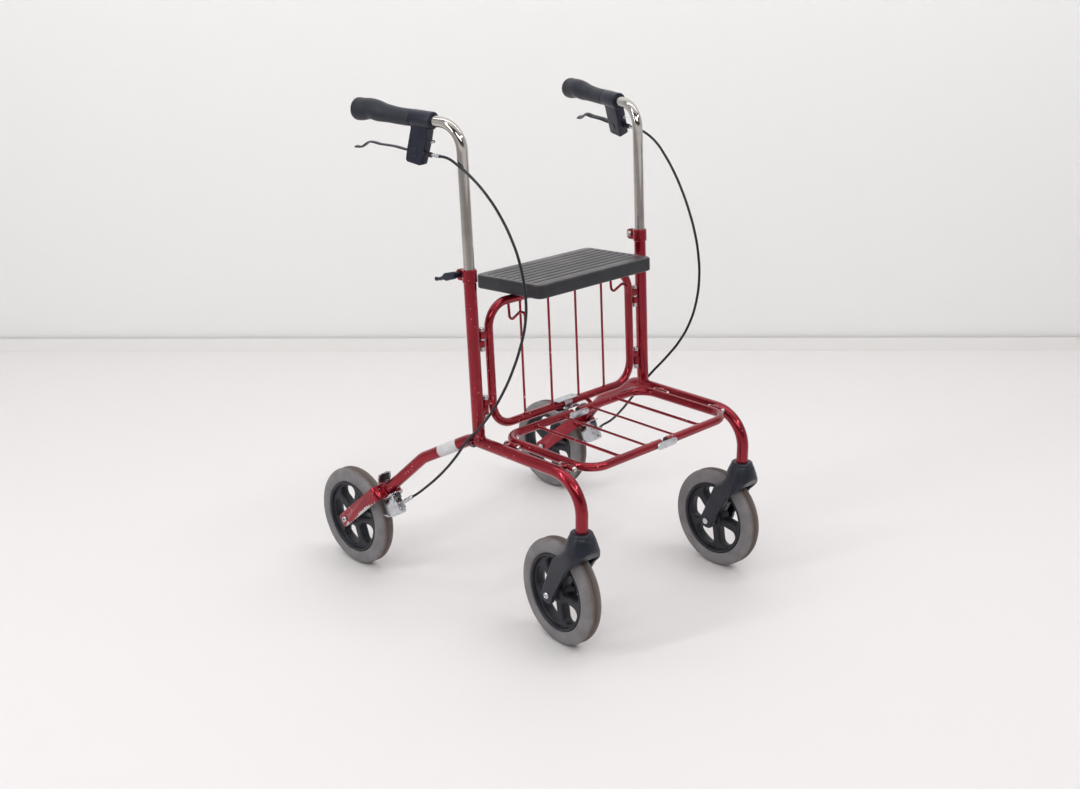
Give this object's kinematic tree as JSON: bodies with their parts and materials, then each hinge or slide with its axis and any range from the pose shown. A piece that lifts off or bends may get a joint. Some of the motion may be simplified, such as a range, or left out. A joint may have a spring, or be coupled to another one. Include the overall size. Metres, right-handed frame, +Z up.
{
  "type": "folding rollator",
  "caption": "Folding walking frame on wheels with a seat, hand brakes, and height-adjustable handles.",
  "frame": {"origin": "on the floor, in the middle of the overall box", "axes": "+Z up, front toward -Y, the user stands on the +Y side, the left side is at +X"},
  "size_m": [0.6314, 0.7202, 0.9386],
  "materials": {
    "frame_paint": "metallic gloss",
    "handle_chrome": "polished",
    "seat_plastic": "ribbed satin",
    "fork_plastic": "satin",
    "black_plastic": "satin",
    "rim_plastic": "satin",
    "grip_rubber": "soft matt",
    "tyre_rubber": "matt",
    "zinc_steel": "zinc plated",
    "cable_black": "smooth"
  },
  "bodies": {
    "right_side": {"right_side_frame": "frame_paint", "right_rear_fork": "frame_paint", "right_clamp_bolt": "zinc_steel", "right_brake_cable": "cable_black", "right_cable_end": "zinc_steel", "right_brake_bracket": "zinc_steel", "right_brake_spring": "zinc_steel", "right_back_pin_upper": "zinc_steel", "right_back_pin_lower": "zinc_steel", "right_tray_pin_front": "zinc_steel", "right_tray_pin_rear": "zinc_steel", "right_rear_axle": "zinc_steel"},
    "left_side": {"left_side_frame": "frame_paint", "left_rear_fork": "frame_paint", "left_clamp_bolt": "zinc_steel", "left_brake_cable": "cable_black", "left_cable_end": "zinc_steel", "left_brake_bracket": "zinc_steel", "left_brake_spring": "zinc_steel", "left_back_pin_upper": "zinc_steel", "left_back_pin_lower": "zinc_steel", "left_tray_pin_front": "zinc_steel", "left_tray_pin_rear": "zinc_steel", "left_rear_axle": "zinc_steel"},
    "back_right": {"back_half_right": "frame_paint"},
    "back_brackets": {"back_bracket_lower": "zinc_steel", "back_bracket_upper": "zinc_steel"},
    "back_left": {"back_half_left": "frame_paint"},
    "seat": {"seat": "seat_plastic", "seat_clip": "black_plastic"},
    "tray_right": {"tray_half_right": "frame_paint"},
    "tray_links": {"tray_link_front": "zinc_steel", "tray_link_rear": "zinc_steel"},
    "tray_left": {"tray_half_left": "frame_paint"},
    "right_handle": {"right_handle_tube": "handle_chrome", "right_grip": "grip_rubber", "right_brake_housing": "black_plastic", "right_cable_adjuster": "zinc_steel"},
    "right_lever": {"right_brake_lever": "black_plastic"},
    "right_brake_arm": {"right_brake_arm": "zinc_steel"},
    "right_clamp": {"right_clamp_lever": "black_plastic"},
    "right_caster": {"right_caster_fork": "fork_plastic", "right_front_axle": "zinc_steel"},
    "right_front_wheel": {"right_front_tyre": "tyre_rubber", "right_front_rim": "rim_plastic"},
    "right_rear_wheel": {"right_rear_tyre": "tyre_rubber", "right_rear_rim": "rim_plastic"},
    "left_handle": {"left_handle_tube": "handle_chrome", "left_grip": "grip_rubber", "left_brake_housing": "black_plastic", "left_cable_adjuster": "zinc_steel"},
    "left_lever": {"left_brake_lever": "black_plastic"},
    "left_brake_arm": {"left_brake_arm": "zinc_steel"},
    "left_clamp": {"left_clamp_lever": "black_plastic"},
    "left_caster": {"left_caster_fork": "fork_plastic", "left_front_axle": "zinc_steel"},
    "left_front_wheel": {"left_front_tyre": "tyre_rubber", "left_front_rim": "rim_plastic"},
    "left_rear_wheel": {"left_rear_tyre": "tyre_rubber", "left_rear_rim": "rim_plastic"}
  },
  "joints": [
    {"name": "fold", "type": "hinge", "parent": "right_side", "child": "back_right", "pos_m": [-0.2075, -0.0544, 0.337], "axis": [0, 0.0583, 0.9983], "range_deg": [0, 75]},
    {"name": "back_bracket_turn", "type": "hinge", "parent": "back_right", "child": "back_brackets", "pos_m": [-0.02, -0.0544, 0.337], "axis": [0, 0.0583, 0.9983], "range_deg": [-75, 0]},
    {"name": "back_left_turn", "type": "hinge", "parent": "back_brackets", "child": "back_left", "pos_m": [0.02, -0.0544, 0.337], "axis": [0, 0.0583, 0.9983], "range_deg": [-75, 0]},
    {"name": "left_side_turn", "type": "hinge", "parent": "back_left", "child": "left_side", "pos_m": [0.2075, -0.0544, 0.337], "axis": [0, 0.0583, 0.9983], "range_deg": [0, 75]},
    {"name": "tray_right_turn", "type": "hinge", "parent": "right_side", "child": "tray_right", "pos_m": [-0.2075, -0.0804, 0.3375], "axis": [0, -1, 0], "range_deg": [0, 75]},
    {"name": "tray_link_turn", "type": "hinge", "parent": "tray_right", "child": "tray_links", "pos_m": [-0.02, -0.0804, 0.3375], "axis": [0, -1, 0], "range_deg": [-75, 0]},
    {"name": "tray_left_turn", "type": "hinge", "parent": "left_side", "child": "tray_left", "pos_m": [0.2075, -0.0804, 0.3375], "axis": [0, 1, 0], "range_deg": [0, 75]},
    {"name": "seat_tip", "type": "hinge", "parent": "back_left", "child": "seat", "pos_m": [0.09, -0.04, 0.583], "axis": [-1, 0, 0], "range_deg": [0, 90]},
    {"name": "right_handle_slide", "type": "slide", "parent": "right_side", "child": "right_handle", "axis": [0, 0.0583, 0.9983], "range_m": [-0.13, 0.06], "deforming": ["right_brake_cable"]},
    {"name": "right_lever", "type": "hinge", "parent": "right_handle", "child": "right_lever", "pos_m": [-0.24471, 0.07662, 0.85464], "axis": [0.9857, 0.1685, 0], "range_deg": [0, 16], "stiffness_Nm_per_rad": 2, "springref_deg": -11.46},
    {"name": "right_brake_arm", "type": "hinge", "parent": "right_side", "child": "right_brake_arm", "pos_m": [-0.279, 0.13542, 0.17419], "axis": [1, 0, 0], "range_deg": [0, 4.8]},
    {"name": "right_clamp", "type": "hinge", "parent": "right_side", "child": "right_clamp", "pos_m": [-0.228, -0.01348, 0.64316], "axis": [1, 0, 0], "range_deg": [0, 180]},
    {"name": "right_caster_turn", "type": "hinge", "parent": "right_side", "child": "right_caster", "pos_m": [-0.2272, -0.3155, 0.237], "axis": [0, 0, 1], "continuous": true},
    {"name": "right_front_roll", "type": "hinge", "parent": "right_caster", "child": "right_front_wheel", "pos_m": [-0.21985, -0.25968, 0.1], "axis": [0.9914, -0.1305, 0], "continuous": true},
    {"name": "right_rear_roll", "type": "hinge", "parent": "right_side", "child": "right_rear_wheel", "pos_m": [-0.279, 0.26, 0.1], "axis": [1, 0, 0], "continuous": true},
    {"name": "left_handle_slide", "type": "slide", "parent": "left_side", "child": "left_handle", "axis": [0, 0.0583, 0.9983], "range_m": [-0.12, 0.07], "deforming": ["left_brake_cable"]},
    {"name": "left_lever", "type": "hinge", "parent": "left_handle", "child": "left_lever", "pos_m": [0.27182, 0.06986, 0.84858], "axis": [0.888, -0.2152, 0.4064], "range_deg": [0, 16], "stiffness_Nm_per_rad": 2, "springref_deg": -11.46},
    {"name": "left_brake_arm", "type": "hinge", "parent": "left_side", "child": "left_brake_arm", "pos_m": [0.279, 0.13542, 0.17419], "axis": [1, 0, 0], "range_deg": [0, 4.8]},
    {"name": "left_clamp", "type": "hinge", "parent": "left_side", "child": "left_clamp", "pos_m": [0.228, -0.01348, 0.64316], "axis": [1, 0, 0], "range_deg": [0, 180]},
    {"name": "left_caster_turn", "type": "hinge", "parent": "left_side", "child": "left_caster", "pos_m": [0.2272, -0.3155, 0.237], "axis": [0, 0, 1], "continuous": true},
    {"name": "left_front_roll", "type": "hinge", "parent": "left_caster", "child": "left_front_wheel", "pos_m": [0.23064, -0.25931, 0.1], "axis": [0.9981, -0.061, 0], "continuous": true},
    {"name": "left_rear_roll", "type": "hinge", "parent": "left_side", "child": "left_rear_wheel", "pos_m": [0.279, 0.26, 0.1], "axis": [1, 0, 0], "continuous": true}
  ],
  "couplings": [
    {"joint": "back_bracket_turn", "follows": "fold", "ratio": -1},
    {"joint": "back_left_turn", "follows": "fold", "ratio": -1},
    {"joint": "left_side_turn", "follows": "fold", "ratio": 1},
    {"joint": "tray_right_turn", "follows": "fold", "ratio": 1},
    {"joint": "tray_link_turn", "follows": "fold", "ratio": -1},
    {"joint": "tray_left_turn", "follows": "fold", "ratio": 1},
    {"joint": "right_brake_arm", "follows": "right_lever", "ratio": 0.3},
    {"joint": "left_brake_arm", "follows": "left_lever", "ratio": 0.3}
  ]
}
